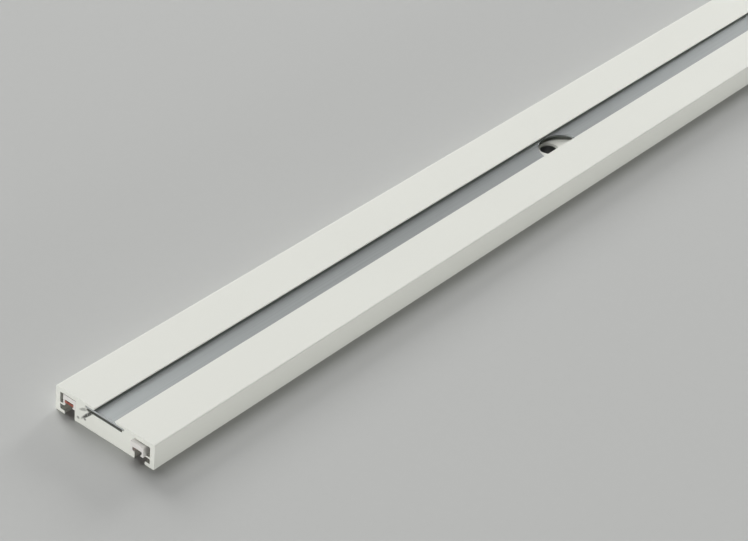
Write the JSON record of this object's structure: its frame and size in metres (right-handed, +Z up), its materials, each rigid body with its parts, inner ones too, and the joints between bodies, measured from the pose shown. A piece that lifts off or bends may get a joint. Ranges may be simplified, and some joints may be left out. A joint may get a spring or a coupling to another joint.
{
  "type": "magnetic lighting track",
  "caption": "Flat white magnetic lighting track: an extrusion with a steel strip in its top groove and a copper conductor in an insulator in each side cavity.",
  "frame": {"origin": "bottom centre of the track, on the surface that it lies on", "axes": "+X along the track, +Y across it, +Z up out of the groove"},
  "size_m": [0.502, 0.027, 0.006],
  "materials": {
    "white_coated_aluminium": "white powder coat, satin",
    "zinc_coated_steel": "rolled, zinc coated",
    "white_plastic": "extruded, matt",
    "copper": "drawn, bare"
  },
  "bodies": {
    "root": {"profile": "white_coated_aluminium", "steel_strip": "zinc_coated_steel", "insulator_left": "white_plastic", "insulator_right": "white_plastic", "conductor_left": "copper", "conductor_right": "copper"}
  },
  "joints": []
}
